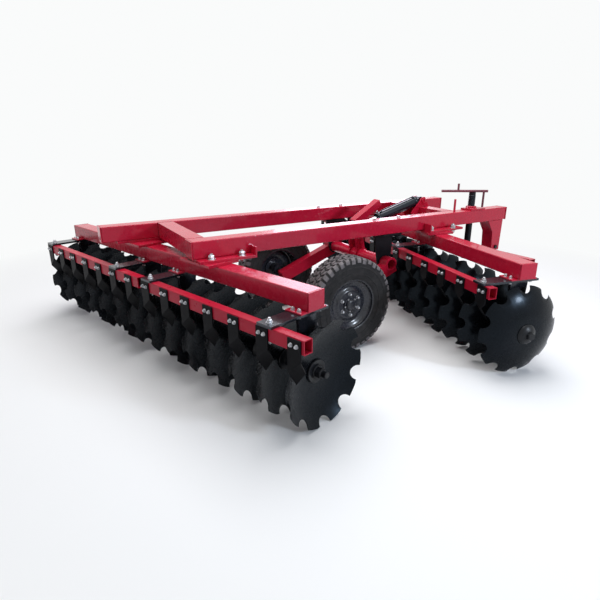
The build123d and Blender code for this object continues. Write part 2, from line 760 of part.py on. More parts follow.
# Mast on the middle cross beam, with the pin that holds the cylinder
BEAM_REAR_FACE = MID_CROSS_X - BEAM / 2
with BuildPart() as mast:
    for side in (-1, 1):
        with BuildSketch(side_plane(side * MAST_Y + MAST_THICK / 2)):
            with BuildLine():
                Polyline(
                    (MID_CROSS_X + BEAM / 2, BEAM_TOP),
                    (MAST_X + MAST_TIP / 2, MAST_Z),
                    (MAST_X + MAST_TIP_FLAT, MAST_Z + MAST_TIP_HIGH),
                    (MAST_X - MAST_TIP_FLAT, MAST_Z + MAST_TIP_HIGH),
                    (MAST_X - MAST_TIP / 2, MAST_Z),
                    (BEAM_REAR_FACE - MAST_BACK, BEAM_TOP - MAST_BACK / 2),
                    (BEAM_REAR_FACE - MAST_BACK / 2, BEAM_LOW),
                    (BEAM_REAR_FACE, BEAM_LOW),
                    (BEAM_REAR_FACE, BEAM_TOP),
                    close=True,
                )
            make_face()
        extrude(amount=MAST_THICK)
    with BuildSketch(side_plane(MAST_Y + MAST_THICK)):
        with Locations((MAST_X, MAST_Z)):
            Circle(PIN_DIA / 2)
    extrude(amount=2 * (MAST_Y + MAST_THICK))
save(mast.part, "cylinder_mast")

# Cylinder, its barrel on the mast's pin and its rod between the lever's plates
CYLINDER_LONG = hypot(MAST_X - EYE_X, MAST_Z - EYE_Z)
TO_EYE = Vector(EYE_X - MAST_X, 0, EYE_Z - MAST_Z).normalized()


def along_cylinder(reach):
    """Plane square to the cylinder at a distance from the mast's pin towards the rod's eye."""
    origin = Vector(MAST_X, 0, MAST_Z) + TO_EYE * reach
    return Plane(origin=origin, x_dir=(0, 1, 0), z_dir=TO_EYE)


with BuildPart() as barrel:
    with BuildSketch(along_cylinder(BARREL_START)):
        Circle(BARREL_DIA / 2)
    extrude(amount=BARREL_LONG - BARREL_START)
    with BuildSketch(along_cylinder(0)):
        Rectangle(EYE_WIDE, BARREL_NECK_WIDE)
    extrude(amount=BARREL_START)
    with BuildSketch(side_plane(EYE_WIDE / 2)):
        with Locations((MAST_X, MAST_Z)):
            RegularPolygon(BARREL_EYE_DIA / 2, EYE_SIDES)
    extrude(amount=EYE_WIDE)
    with BuildSketch(along_cylinder(BARREL_START + BARREL_CAP)):
        Circle(BARREL_BORE / 2)
    extrude(amount=BARREL_LONG - BARREL_START - 2 * BARREL_CAP, mode=Mode.SUBTRACT)
    with BuildSketch(along_cylinder(BARREL_LONG)):
        Circle(ROD_DIA / 2 + ROD_GAP)
    extrude(amount=-2 * BARREL_CAP, mode=Mode.SUBTRACT)
    with BuildSketch(side_plane(EYE_WIDE)):
        with Locations((MAST_X, MAST_Z)):
            Circle(PIN_DIA / 2 + PIN_GAP)
    extrude(amount=2 * EYE_WIDE, mode=Mode.SUBTRACT)
save(barrel.part, "cylinder_barrel")

LEVER_INNER = LEVER_Y - LEVER_THICK / 2
with BuildPart() as rod:
    with BuildSketch(along_cylinder(BARREL_LONG - ROD_INSIDE)):
        Circle(ROD_DIA / 2)
    extrude(amount=CYLINDER_LONG - BARREL_LONG + ROD_INSIDE)
    with BuildSketch(side_plane(EYE_WIDE / 2)):
        with Locations((EYE_X, EYE_Z)):
            RegularPolygon(ROD_EYE_DIA / 2, EYE_SIDES)
    extrude(amount=EYE_WIDE)
    with BuildSketch(side_plane(LEVER_INNER - EYE_SIDE_GAP)):
        with Locations((EYE_X, EYE_Z)):
            Circle(PIN_DIA / 2)
    extrude(amount=2 * (LEVER_INNER - EYE_SIDE_GAP))
save(rod.part, "cylinder_rod")

# Transport lock, a channel on the rod's pin, open below, leaning up over the cylinder
LOCK_ALONG = Vector(cos(radians(LOCK_TILT)), 0, sin(radians(LOCK_TILT)))
with BuildPart() as lock:
    for side in (-1, 1):
        ear_y = side * (LOCK_WIDE - LOCK_WALL) / 2
        ear_plane = Plane(origin=(EYE_X, ear_y + LOCK_WALL / 2, EYE_Z), x_dir=LOCK_ALONG, z_dir=(0, -1, 0))
        with BuildSketch(ear_plane):
            with BuildLine():
                Polyline(
                    (LOCK_START - LOCK_EAR, -LOCK_EAR / 2),
                    (LOCK_EAR / 2, -LOCK_EAR / 2),
                    (LOCK_START + LOCK_EAR / 2, LOCK_LOW),
                    (LOCK_END, LOCK_LOW),
                    (LOCK_END, LOCK_HIGH),
                    (LOCK_START - LOCK_EAR / 2, LOCK_HIGH),
                    (-LOCK_EAR / 2, LOCK_EAR / 2),
                    close=True,
                )
            make_face()
            Circle(PIN_DIA / 2 + PIN_GAP, mode=Mode.SUBTRACT)
        extrude(amount=LOCK_WALL)
    web_start = Vector(EYE_X, 0, EYE_Z) + LOCK_ALONG * (LOCK_START - LOCK_EAR / 2)
    with BuildSketch(Plane(origin=web_start, x_dir=(0, 1, 0), z_dir=LOCK_ALONG)):
        with Locations((0, LOCK_HIGH - LOCK_WALL / 2)):
            Rectangle(LOCK_WIDE, LOCK_WALL)
    extrude(amount=LOCK_END - LOCK_START + LOCK_EAR / 2)
save(lock.part, "transport_lock")

# Hitch legs under the front ends of the longitudinal beams, folded plates open to the front
HITCH_LOW = BEAM_LOW - HITCH_DROP
LEG_BACK = (
    # x, height of the rear edge from the top down
    (HITCH_FRONT_X - HITCH_TOP_LONG, BEAM_LOW),
    (HITCH_FRONT_X - HITCH_MID_LONG, BEAM_LOW - HITCH_MID_DROP),
    (HITCH_FRONT_X - HITCH_LOW_LONG, HITCH_LOW),
)
HITCH_PIN_X = HITCH_FRONT_X - (HITCH_LOW_LONG + HITCH_LOW_BACK) / 2
HITCH_PIN_Z = HITCH_LOW + HITCH_HOLE_UP
with BuildPart() as hitch_legs:
    for side in (-1, 1):
        with BuildSketch(side_plane(side * BEAM_Y + BEAM / 2)):
            with BuildLine():
                Polyline(
                    (HITCH_FRONT_X, BEAM_LOW),
                    *LEG_BACK,
                    (HITCH_FRONT_X - HITCH_LOW_BACK, HITCH_LOW),
                    close=True,
                )
            make_face()
        extrude(amount=BEAM)
        with BuildSketch(side_plane(side * BEAM_Y + BEAM / 2 - HITCH_PLATE)):
            with BuildLine():
                Polyline(
                    (HITCH_FRONT_X + BEAM, BEAM_LOW),
                    *[(x + HITCH_PLATE, z) for x, z in LEG_BACK],
                    (HITCH_FRONT_X + BEAM, HITCH_LOW),
                    close=True,
                )
            make_face()
        extrude(amount=BEAM - 2 * HITCH_PLATE, mode=Mode.SUBTRACT)
        with BuildSketch(side_plane(side * BEAM_Y + BEAM)):
            with Locations((HITCH_PIN_X, HITCH_PIN_Z)):
                Circle(HITCH_HOLE_DIA / 2)
        extrude(amount=2 * BEAM, mode=Mode.SUBTRACT)
save(hitch_legs.part, "hitch_legs")

# Hitch bar, a square tube hung on the legs by lugs
BAR_TOP = HITCH_LOW - BAR_GAP
BAR_MID = BAR_TOP - BAR_SECTION / 2
LINK_FRONT_X = HITCH_PIN_X - BAR_SECTION / 2
with BuildPart() as hitch_bar:
    with BuildSketch(side_plane(BAR_HALF)):
        with Locations((HITCH_PIN_X, BAR_MID)):
            Rectangle(BAR_SECTION, BAR_SECTION)
            Rectangle(BAR_SECTION - 2 * BAR_WALL, BAR_SECTION - 2 * BAR_WALL, mode=Mode.SUBTRACT)
    extrude(amount=2 * BAR_HALF)
    for side in (-1, 1):
        with BuildSketch(side_plane(side * BEAM_Y + HITCH_LUG / 2)):
            with Locations((HITCH_PIN_X, (BAR_TOP + HITCH_PIN_Z + BAR_SECTION / 2) / 2)):
                Rectangle(BAR_SECTION, HITCH_PIN_Z + BAR_SECTION / 2 - BAR_TOP)
            with Locations((HITCH_PIN_X, HITCH_PIN_Z)):
                Circle(HITCH_HOLE_DIA / 2, mode=Mode.SUBTRACT)
        extrude(amount=HITCH_LUG)
    with BuildSketch(Plane.XY.offset(BAR_MID - BAR_SECTION)):
        with Locations((HITCH_PIN_X, -TONGUE_BOLT_Y), (HITCH_PIN_X, TONGUE_BOLT_Y)):
            Circle(TONGUE_BOLT_DIA / 2)
    extrude(amount=2 * BAR_SECTION, mode=Mode.SUBTRACT)
save(hitch_bar.part, "hitch_bar")

# Arm welded to the hitch bar, back to the foot of the levelling screw
with BuildPart() as levelling_arm:
    with BuildSketch(Plane.XY.offset(BAR_MID - LINK_HIGH / 2)):
        with Locations(((LINK_FRONT_X + SCREW_X - LINK_WIDE / 2) / 2, -BEAM_Y)):
            Rectangle(LINK_FRONT_X - SCREW_X + LINK_WIDE / 2, LINK_WIDE)
    extrude(amount=LINK_HIGH)
save(levelling_arm.part, "levelling_arm")

with BuildPart() as hitch_pins:
    for side in (-1, 1):
        with BuildSketch(side_plane(side * BEAM_Y + BEAM / 2 + PIN_HEAD)):
            with Locations((HITCH_PIN_X, HITCH_PIN_Z)):
                Circle(HITCH_HOLE_DIA / 2 - PIN_GAP)
        extrude(amount=BEAM + 2 * PIN_HEAD)
save(hitch_pins.part, "hitch_pins")

# Levelling screw through the right beam, with its plate, crank and pegs
SCREW_LOW = BAR_MID + LINK_HIGH / 2
with BuildPart() as screw:
    with BuildSketch(Plane.XY.offset(SCREW_LOW)):
        with Locations((SCREW_X, -BEAM_Y)):
            Circle(SCREW_DIA / 2)
    extrude(amount=SCREW_TOP - SCREW_LOW)
save(screw.part, "levelling_screw")

with BuildPart() as screw_plate:
    with BuildSketch(Plane.XY.offset(BEAM_TOP)):
        with Locations((SCREW_X + SCREW_PLATE_SHIFT, -BEAM_Y)):
            Rectangle(SCREW_PLATE_LONG, SCREW_PLATE_WIDE)
        with Locations((SCREW_X, -BEAM_Y)):
            Circle(SCREW_DIA / 2 + PIN_GAP, mode=Mode.SUBTRACT)
    extrude(amount=SCREW_PLATE)
    with BuildSketch(Plane.XY.offset(BEAM_TOP)):
        with Locations((STOWED_PIN_X, -BEAM_Y)):
            Circle(PEG_DIA / 2)
    extrude(amount=STOWED_PIN_HIGH)
save(screw_plate.part, "screw_plate")

CRANK_PLANE = Plane(
    origin=(SCREW_X, -BEAM_Y, SCREW_TOP + CRANK_DIA / 2),
    x_dir=(cos(radians(CRANK_TURN)), sin(radians(CRANK_TURN)), 0),
    z_dir=(0, 0, 1),
)
with BuildPart(CRANK_PLANE) as crank:
    with Locations(((CRANK_RIGHT - CRANK_LEFT) / 2, 0, 0)):
        Cylinder(CRANK_DIA / 2, CRANK_RIGHT + CRANK_LEFT, rotation=(0, 90, 0))
    for reach, high, way in CRANK_PEGS:
        with Locations((reach, 0, way * high / 2)):
            Cylinder(PEG_DIA / 2, high)
save(crank.part, "screw_crank")
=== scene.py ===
import json
from math import asin, cos, pi, radians, sin, sqrt

import bmesh
import bpy
from mathutils import Matrix, Vector


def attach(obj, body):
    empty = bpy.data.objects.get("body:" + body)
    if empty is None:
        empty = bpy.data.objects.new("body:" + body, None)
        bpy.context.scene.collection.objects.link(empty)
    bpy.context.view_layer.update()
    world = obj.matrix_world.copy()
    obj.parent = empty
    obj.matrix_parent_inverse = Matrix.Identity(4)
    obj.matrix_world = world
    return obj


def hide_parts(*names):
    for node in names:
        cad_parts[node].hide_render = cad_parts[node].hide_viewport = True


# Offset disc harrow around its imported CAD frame. Metres, X forward, Y left, Z up.
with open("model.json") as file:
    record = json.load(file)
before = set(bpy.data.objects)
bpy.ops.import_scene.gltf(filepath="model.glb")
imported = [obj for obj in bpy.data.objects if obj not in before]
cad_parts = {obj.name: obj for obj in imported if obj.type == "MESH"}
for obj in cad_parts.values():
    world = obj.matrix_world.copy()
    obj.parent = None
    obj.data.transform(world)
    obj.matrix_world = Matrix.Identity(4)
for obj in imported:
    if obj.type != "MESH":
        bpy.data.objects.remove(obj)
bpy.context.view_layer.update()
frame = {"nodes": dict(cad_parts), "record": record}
NODES = frame["nodes"]
SCENE = bpy.context.scene

# Sizes that the CAD has too
BEAM_TOP = 0.977
BEAM_LOW = 0.857
BEAM_Y = 0.428
UPPER_LOW = 0.8385
GANG_LOW = 0.710
ARM_TOP = 0.700
ARM_LOW = 0.684
SCRAPER_ARM_LOW = ARM_LOW - 0.080
REAR_X, REAR_LEAN = -1.178, radians(16)
FRONT_X, FRONT_LEAN = 1.129, radians(-13)
DISC_RADIUS = 0.330
DISC_PITCH = 0.240
DISC_DEPTH = 0.085
DISC_THICK = 0.006
DISC_FLAT = 0.078
NOTCHES = 10
NOTCH_RADIUS = 0.048
DISCS_A_SIDE = 7
REAR_FIRST, FRONT_FIRST = 1.503, 1.622
AXLE_Z = 0.330
AXLE_AHEAD = {"rear": 0.002, "front": 0.010}
ARM_SHIFT = {"rear": 0.158, "front": 0.183}
ARM_SPAN = 5
SCRAPER_BACK = 0.314
SCRAPER_THICK = 0.008
SCRAPER_SHIFT = {"rear": 0.057, "front": -0.022}
WHEEL = Vector((-0.015, 0.597, 0.380))
EYE = Vector((0.500, 0, 0.830))
MAST_PIN = Vector((1.275, 0, 1.040))
SCREW = Vector((1.535, -BEAM_Y, 0.991))

UP = Vector((0, 0, 1))
DOWN = -UP


# ---------------------------------------------------------------- materials
# Spans of the noise that become the tones, the dust and the gloss
TONE_SPAN, DUST_SPAN, GLOSS_SPAN = (0.35, 0.65), (0.45, 0.75), (0.3, 0.7)
RELIEF_DEPTH = 0.002


def nodes_of(name):
    """New material with its node tree, its Principled shader and a helper that adds nodes."""
    made = bpy.data.materials.new(name)
    made.use_nodes = True
    tree = made.node_tree

    def add(kind, **settings):
        node = tree.nodes.new(kind)
        for key, value in settings.items():
            setattr(node, key, value)
        return node

    return made, tree, tree.nodes["Principled BSDF"], add


def noise(tree, add, scale, detail=4.0, rough=0.55):
    """Noise over the piece's own coordinates, as a factor socket."""
    where = add("ShaderNodeTexCoord")
    grain = add("ShaderNodeTexNoise")
    grain.inputs["Scale"].default_value = scale
    grain.inputs["Detail"].default_value = detail
    grain.inputs["Roughness"].default_value = rough
    tree.links.new(where.outputs["Object"], grain.inputs["Vector"])
    return grain.outputs["Fac"]


def ramp(tree, add, source, low, high, start, end):
    """Maps a factor from low..high to start..end."""
    span = add("ShaderNodeMapRange")
    for key, value in (("From Min", low), ("From Max", high), ("To Min", start), ("To Max", end)):
        span.inputs[key].default_value = value
    tree.links.new(source, span.inputs["Value"])
    return span.outputs["Result"]


def mix(tree, add, factor, first, second):
    """Mixes two colours, each a tuple or a socket, by a factor socket."""
    node = add("ShaderNodeMix", data_type="RGBA")
    tree.links.new(factor, node.inputs["Factor"])
    for socket, value in ((node.inputs[6], first), (node.inputs[7], second)):
        if isinstance(value, tuple):
            socket.default_value = (*value, 1)
        else:
            tree.links.new(value, socket)
    return node.outputs[2]


def finish_of(name, first, second, rough, metal=0.0, coat=0.0, coat_rough=0.1, dust=None, dust_share=0.0,
              grain=7.0, bump=0.0, bump_scale=300.0, specular=0.5, tint=(1.0, 1.0, 1.0)):
    """Painted, bare or rubbery surface: two tones, patchy dust, uneven gloss and a fine relief."""
    made, tree, shader, add = nodes_of(name)
    tone = ramp(tree, add, noise(tree, add, grain), *TONE_SPAN, 0.0, 1.0)
    colour = mix(tree, add, tone, first, second)
    if dust:
        patch = ramp(tree, add, noise(tree, add, grain * 2.3, 8.0, 0.7), *DUST_SPAN, 0.0, dust_share)
        colour = mix(tree, add, patch, colour, dust)
    tree.links.new(colour, shader.inputs["Base Color"])
    gloss = ramp(tree, add, noise(tree, add, grain * 5, 6.0, 0.6), *GLOSS_SPAN, *rough)
    tree.links.new(gloss, shader.inputs["Roughness"])
    shader.inputs["Metallic"].default_value = metal
    shader.inputs["Specular IOR Level"].default_value = specular
    shader.inputs["Specular Tint"].default_value = (*tint, 1)
    shader.inputs["Coat Weight"].default_value = coat
    shader.inputs["Coat Roughness"].default_value = coat_rough
    if bump:
        relief = add("ShaderNodeBump")
        relief.inputs["Strength"].default_value = bump
        relief.inputs["Distance"].default_value = RELIEF_DEPTH
        tree.links.new(noise(tree, add, bump_scale, 3.0, 0.5), relief.inputs["Height"])
        tree.links.new(relief.outputs["Normal"], shader.inputs["Normal"])
    return made


RED = finish_of(
    "red_gloss", (0.50, 0.009, 0.036), (0.44, 0.008, 0.032), (0.22, 0.32), coat=0.32, coat_rough=0.06,
    dust=(0.36, 0.02, 0.05), dust_share=0.20, grain=3.0, bump=0.01, bump_scale=60.0, specular=0.19,
    tint=(0.90, 0.72, 1.0),
)
DEEP_RED = finish_of(
    "red_satin", (0.46, 0.008, 0.030), (0.40, 0.007, 0.027), (0.26, 0.36), coat=0.12, coat_rough=0.08,
    dust=(0.34, 0.02, 0.05), dust_share=0.15, grain=3.0, bump=0.01, bump_scale=60.0, specular=0.10,
    tint=(0.90, 0.72, 1.0),
)
CRIMSON = finish_of(
    "crimson_gloss", (0.16, 0.016, 0.036), (0.11, 0.012, 0.028), (0.20, 0.30), coat=0.5, coat_rough=0.08,
    grain=6.0, bump=0.02, bump_scale=90.0, specular=0.4, tint=(1.0, 0.85, 0.95),
)
BLACK = finish_of(
    "black_satin", (0.005, 0.005, 0.006), (0.009, 0.009, 0.011), (0.30, 0.42),
    dust=(0.020, 0.019, 0.020), dust_share=0.3, grain=9.0, bump=0.10, bump_scale=220.0, specular=0.15,
    tint=(0.85, 0.88, 1.0),
)
BLUED = finish_of(
    "black_blued", (0.006, 0.007, 0.010), (0.011, 0.012, 0.017), (0.16, 0.26), coat=0.20, coat_rough=0.06,
    grain=9.0, bump=0.05, bump_scale=200.0, specular=0.42, tint=(0.78, 0.86, 1.0),
)
MATT = finish_of(
    "black_matt", (0.0035, 0.0035, 0.004), (0.007, 0.007, 0.008), (0.36, 0.50),
    dust=(0.014, 0.014, 0.015), dust_share=0.3, grain=9.0, bump=0.10, bump_scale=220.0, specular=0.05,
    tint=(0.85, 0.88, 1.0),
)
DISC = finish_of(
    "disc_blue_black", (0.0025, 0.003, 0.004), (0.0042, 0.0048, 0.0065), (0.22, 0.31), coat=0.05,
    coat_rough=0.10, dust=(0.009, 0.009, 0.010), dust_share=0.25, grain=6.0, bump=0.05, bump_scale=160.0,
    specular=0.11, tint=(0.60, 0.80, 1.0),
)
AXLE = finish_of(
    "axle_black", (0.005, 0.006, 0.008), (0.012, 0.013, 0.016), (0.28, 0.42),
    grain=12.0, bump=0.12, bump_scale=200.0, specular=0.22,
)
GLOSS = finish_of(
    "black_gloss", (0.006, 0.008, 0.012), (0.011, 0.014, 0.021), (0.14, 0.24), coat=0.12, coat_rough=0.05,
    grain=8.0, bump=0.04, bump_scale=150.0, specular=0.3, tint=(0.8, 0.9, 1.0),
)
RIM = finish_of(
    "rim_blue_black", (0.013, 0.014, 0.019), (0.023, 0.025, 0.035), (0.20, 0.34), coat=0.30, coat_rough=0.10,
    dust=(0.05, 0.05, 0.052), dust_share=0.3, grain=10.0, bump=0.06, bump_scale=150.0, specular=0.3,
)
RUBBER = finish_of(
    "tyre_rubber", (0.014, 0.014, 0.015), (0.026, 0.025, 0.026), (0.62, 0.82), grain=9.0,
    dust=(0.060, 0.055, 0.055), dust_share=0.45, bump=0.25, bump_scale=320.0, specular=0.2,
)
TREAD = finish_of(
    "tyre_tread_dusty", (0.19, 0.175, 0.182), (0.095, 0.088, 0.092), (0.70, 0.9), grain=14.0,
    dust=(0.30, 0.27, 0.275), dust_share=0.5, bump=0.3, bump_scale=380.0, specular=0.2,
)
ZINC = finish_of(
    "bright_zinc", (0.54, 0.54, 0.56), (0.38, 0.39, 0.42), (0.24, 0.42), metal=1.0,
    grain=40.0, bump=0.1, bump_scale=600.0,
)
CHROME = finish_of(
    "chrome_rod", (0.80, 0.81, 0.83), (0.70, 0.71, 0.74), (0.06, 0.16), metal=1.0,
    grain=20.0, bump=0.02, bump_scale=500.0,
)
FINISHES = {
    "red_paint": RED,
    "black_paint": BLACK,
    "disc_steel": DISC,
    "axle_steel": AXLE,
    "rim_paint": RIM,
    "tyre": RUBBER,
    "chrome_rod": CHROME,
    "zinc": ZINC,
}
OWN_FINISHES = {
    # node: finish, where it isn't its slot's
    # The swing arms take the darker, less glossy satin red as painted shade, so they render dim like parts
    # in shade under the frame.
    "cylinder_barrel": GLOSS, "screw_crank": CRIMSON, "swing_arms": DEEP_RED, "hitch_pins": AXLE,
    "rear_scraper_beams": DEEP_RED, "front_scraper_beams": DEEP_RED,
    "rear_hangers": BLUED, "front_hangers": BLUED, "rear_scrapers": MATT, "front_scrapers": MATT,
}

# ---------------------------------------------------------------- the CAD nodes that stay
SLOTS = {row["node"]: row["material_slot"] for row in frame["record"]["subparts"]}
ROUNDED = {
    # node: bevel width
    "right_beam": 0.009, "left_beam": 0.009, "rear_cross_beam": 0.009, "mid_cross_beam": 0.009,
    "rear_gang_beam": 0.009, "front_gang_beam": 0.009, "rear_scraper_beams": 0.005,
    "front_scraper_beams": 0.005, "end_caps": 0.002, "hitch_bar": 0.006, "levelling_arm": 0.003,
}
PLATES = (
    "rear_upper_pivot_plates", "front_upper_pivot_plates", "rear_lower_pivot_plates",
    "front_lower_pivot_plates", "lug_plates", "rear_hangers", "front_hangers", "rear_scrapers",
    "front_scrapers", "rockshaft_hangers", "lift_lever", "cylinder_mast", "hitch_legs",
    "swing_arms", "screw_plate", "transport_lock",
)
PLATE_EDGE = 0.0015
BEAM_SEGMENTS, PLATE_SEGMENTS = 3, 2
WELD_GAP = 0.00003
EDGE_ANGLE = radians(40)


def soften(node, width, segments):
    """Joins the node's split corners and rounds its sharp edges, with modifiers only."""
    mesh = node.data
    if "custom_normal" in mesh.attributes:
        mesh.attributes.remove(mesh.attributes["custom_normal"])
    weld = node.modifiers.new("join", "WELD")
    weld.merge_threshold = WELD_GAP
    bevel = node.modifiers.new("edges", "BEVEL")
    bevel.width = width
    bevel.segments = segments
    bevel.limit_method = "ANGLE"
    bevel.angle_limit = EDGE_ANGLE
    bevel.harden_normals = True
    for polygon in mesh.polygons:
        polygon.use_smooth = True


for name, node in NODES.items():
    node.data.materials.clear()
    node.data.materials.append(OWN_FINISHES.get(name, FINISHES[SLOTS[name]]))
for name, width in ROUNDED.items():
    soften(NODES[name], width, BEAM_SEGMENTS)
for name in PLATES:
    soften(NODES[name], PLATE_EDGE, PLATE_SEGMENTS)


# ---------------------------------------------------------------- shapes
SHARP_ANGLE = radians(35)


class Shape:
    """Collects the faces of one piece; every part of it is a closed shell."""

    def __init__(self):
        self.points = []
        self.faces = []
        self.slots = []

    def add(self, points, faces, place=Matrix.Identity(4), slot=0):
        first = len(self.points)
        self.points += [place @ Vector(p) for p in points]
        self.faces += [[first + i for i in face] for face in faces]
        self.slots += [slot] * len(faces)

    def lathe(self, outline, place, steps, turn=0.0):
        """Turns a closed outline of (along, radius) about the local Z axis; radius 0 is a pole."""
        points = []
        rings = []
        for along, radius in outline:
            if radius <= 0:
                rings.append([len(points)] * steps)
                points.append((0, 0, along))
            else:
                rings.append([len(points) + i for i in range(steps)])
                angles = [turn + 2 * pi * i / steps for i in range(steps)]
                points += [(radius * cos(angle), radius * sin(angle), along) for angle in angles]
        pairs = list(zip(rings, rings[1:]))
        if outline[0][1] > 0 and outline[-1][1] > 0:
            pairs.append((rings[-1], rings[0]))
        faces = []
        for a, b in pairs:
            for i in range(steps):
                j = (i + 1) % steps
                corners = [a[i], a[j], b[j], b[i]]
                face = [c for k, c in enumerate(corners) if c not in corners[:k]]
                if len(face) > 2:
                    faces.append(face)
        self.add(points, faces, place)

    def block(self, half, high, taper, place):
        """Square block on the local XY plane, whose top is smaller by taper on each side."""
        points = [
            (x * reach, y * reach, z)
            for z, reach in ((0, half), (high, half - taper))
            for x, y in ((-1, -1), (1, -1), (1, 1), (-1, 1))
        ]
        faces = [(3, 2, 1, 0), (4, 5, 6, 7), (0, 1, 5, 4), (1, 2, 6, 5), (2, 3, 7, 6), (3, 0, 4, 7)]
        self.add(points, faces, place)

    def tube(self, path, radius, steps):
        """Round bar along a path, closed at both ends."""
        points = []
        rings = []
        for i, p in enumerate(path):
            way = (path[min(i + 1, len(path) - 1)] - path[max(i - 1, 0)]).normalized()
            side = way.orthogonal().normalized() if i == 0 else (side - way * side.dot(way)).normalized()
            up = way.cross(side)
            angles = [2 * pi * k / steps for k in range(steps)]
            rings.append([len(points) + k for k in range(steps)])
            points += [p + (side * cos(angle) + up * sin(angle)) * radius for angle in angles]
        faces = [rings[0][::-1], rings[-1]]
        for a, b in zip(rings, rings[1:]):
            faces += [(a[k], a[(k + 1) % steps], b[(k + 1) % steps], b[k]) for k in range(steps)]
        self.add(points, faces)

    def piece(self, name, body, slot, *materials, replaces=()):
        """Makes the object, with outward normals, and lets it ride on its body."""
        mesh = bpy.data.meshes.new(name)
        mesh.from_pydata([tuple(p) for p in self.points], [], self.faces)
        for material in materials:
            mesh.materials.append(material)
        mesh.polygons.foreach_set("material_index", self.slots)
        mesh.validate()
        whole = bmesh.new()
        whole.from_mesh(mesh)
        bmesh.ops.recalc_face_normals(whole, faces=whole.faces)
        whole.to_mesh(mesh)
        whole.free()
        mesh.shade_smooth()
        mesh.set_sharp_from_angle(angle=SHARP_ANGLE)
        made = bpy.data.objects.new(name, mesh)
        SCENE.collection.objects.link(made)
        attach(made, body)
        if replaces:
            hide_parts(*replaces)


def facing(origin, way, side=None):
    """Matrix whose Z axis points along way, with its origin at a point."""
    z = Vector(way).normalized()
    x = (Vector(side) - z * Vector(side).dot(z)).normalized() if side else z.orthogonal().normalized()
    turned = Matrix((x, z.cross(x), z)).transposed().to_4x4()
    return Matrix.Translation(Vector(origin)) @ turned


def gang_point(gang, t, ahead, up):
    """Point at t to the right along a gang, ahead of its beam's middle line, at a height."""
    x, lean = (REAR_X, REAR_LEAN) if gang == "rear" else (FRONT_X, FRONT_LEAN)
    return Vector((x + t * sin(lean) + ahead * cos(lean), -t * cos(lean) + ahead * sin(lean), up))


def gang_ways(gang):
    """Unit vectors of a gang: to the right, and forward."""
    lean = REAR_LEAN if gang == "rear" else FRONT_LEAN
    return Vector((sin(lean), -cos(lean), 0)), Vector((cos(lean), sin(lean), 0))


BOLTS = {
    # use: across flats, height, washer radius, length of the stud's end
    "wheel": (0.022, 0.014, 0.015, 0.006),
    "cap": (0.012, 0.007, 0.0, 0.0),
    "scraper": (0.018, 0.008, 0.0120, 0.005),
    "arm_top": (0.026, 0.016, 0.020, 0.010),
    "arm_low": (0.027, 0.015, 0.020, 0.010),
    "lug_top": (0.021, 0.011, 0.0145, 0.006),
    "lug_low": (0.022, 0.012, 0.015, 0.0),
    "pivot_top": (0.036, 0.027, 0.029, 0.008),
    "pivot_low": (0.034, 0.020, 0.026, 0.0),
    "beam": (0.028, 0.012, 0.020, 0.0),
    "port": (0.019, 0.010, 0.0, 0.006),
}
WASHER_THICK = 0.0035
BOLT_TURN = 0.3


def bolt(shape, origin, way, use, turn=BOLT_TURN):
    """Hexagon head or nut with a chamfered crown, a washer under it and a stud's end above."""
    flats, high, washer, stud = BOLTS[use]
    place = facing(origin, way)
    base = 0.0
    if washer:
        base = WASHER_THICK
        shape.lathe(
            [(0, 0), (0, washer), (base * 0.7, washer), (base, washer * 0.94), (base, 0)], place, 18
        )
    corner = flats / sqrt(3)
    shape.lathe(
        [(base, 0), (base, corner * 0.95), (base + high * 0.12, corner), (base + high * 0.8, corner),
         (base + high, corner * 0.84), (base + high, 0)],
        place, 6, turn,
    )
    if stud:
        thick = flats * 0.32
        shape.lathe(
            [(base + high * 0.9, 0), (base + high * 0.9, thick), (base + high + stud * 0.8, thick),
             (base + high + stud, thick * 0.7), (base + high + stud, 0)],
            place, 12,
        )


# ---------------------------------------------------------------- discs and their axles
DISC_STEPS = (0.0, 0.14, 0.28, 0.42, 0.56, 0.69, 0.80, 0.89)
DISC_HOLE = 0.030
DISC_EDGE = 0.012
EDGE_BEVELS = (0.0006, 0.0018)
RIM_PARTS, NOTCH_PARTS = 5, 12


def dish(radius):
    """How far the concave face lies behind the rim plane."""
    span = DISC_RADIUS - DISC_FLAT
    bend = (DISC_DEPTH ** 2 + span ** 2) / (2 * DISC_DEPTH)
    reach = max(radius - DISC_FLAT, 0)
    return bend - sqrt(bend ** 2 - reach ** 2) - DISC_DEPTH


def notched_outline():
    """Angle and radius of the notched rim, all the way round."""
    sector = 2 * pi / NOTCHES
    mouth = asin(NOTCH_RADIUS / DISC_RADIUS)
    outline = []
    for i in range(NOTCHES):
        middle = (i + 0.5) * sector
        for k in range(RIM_PARTS):
            outline.append(
                (i * sector - sector / 2 + mouth + (sector - 2 * mouth) * k / RIM_PARTS, DISC_RADIUS)
            )
        for k in range(NOTCH_PARTS + 1):
            swing = -pi / 2 + pi * k / NOTCH_PARTS
            off = asin(NOTCH_RADIUS * sin(swing) / DISC_RADIUS)
            outline.append((middle + off, DISC_RADIUS * cos(off) - NOTCH_RADIUS * cos(swing)))
    return outline


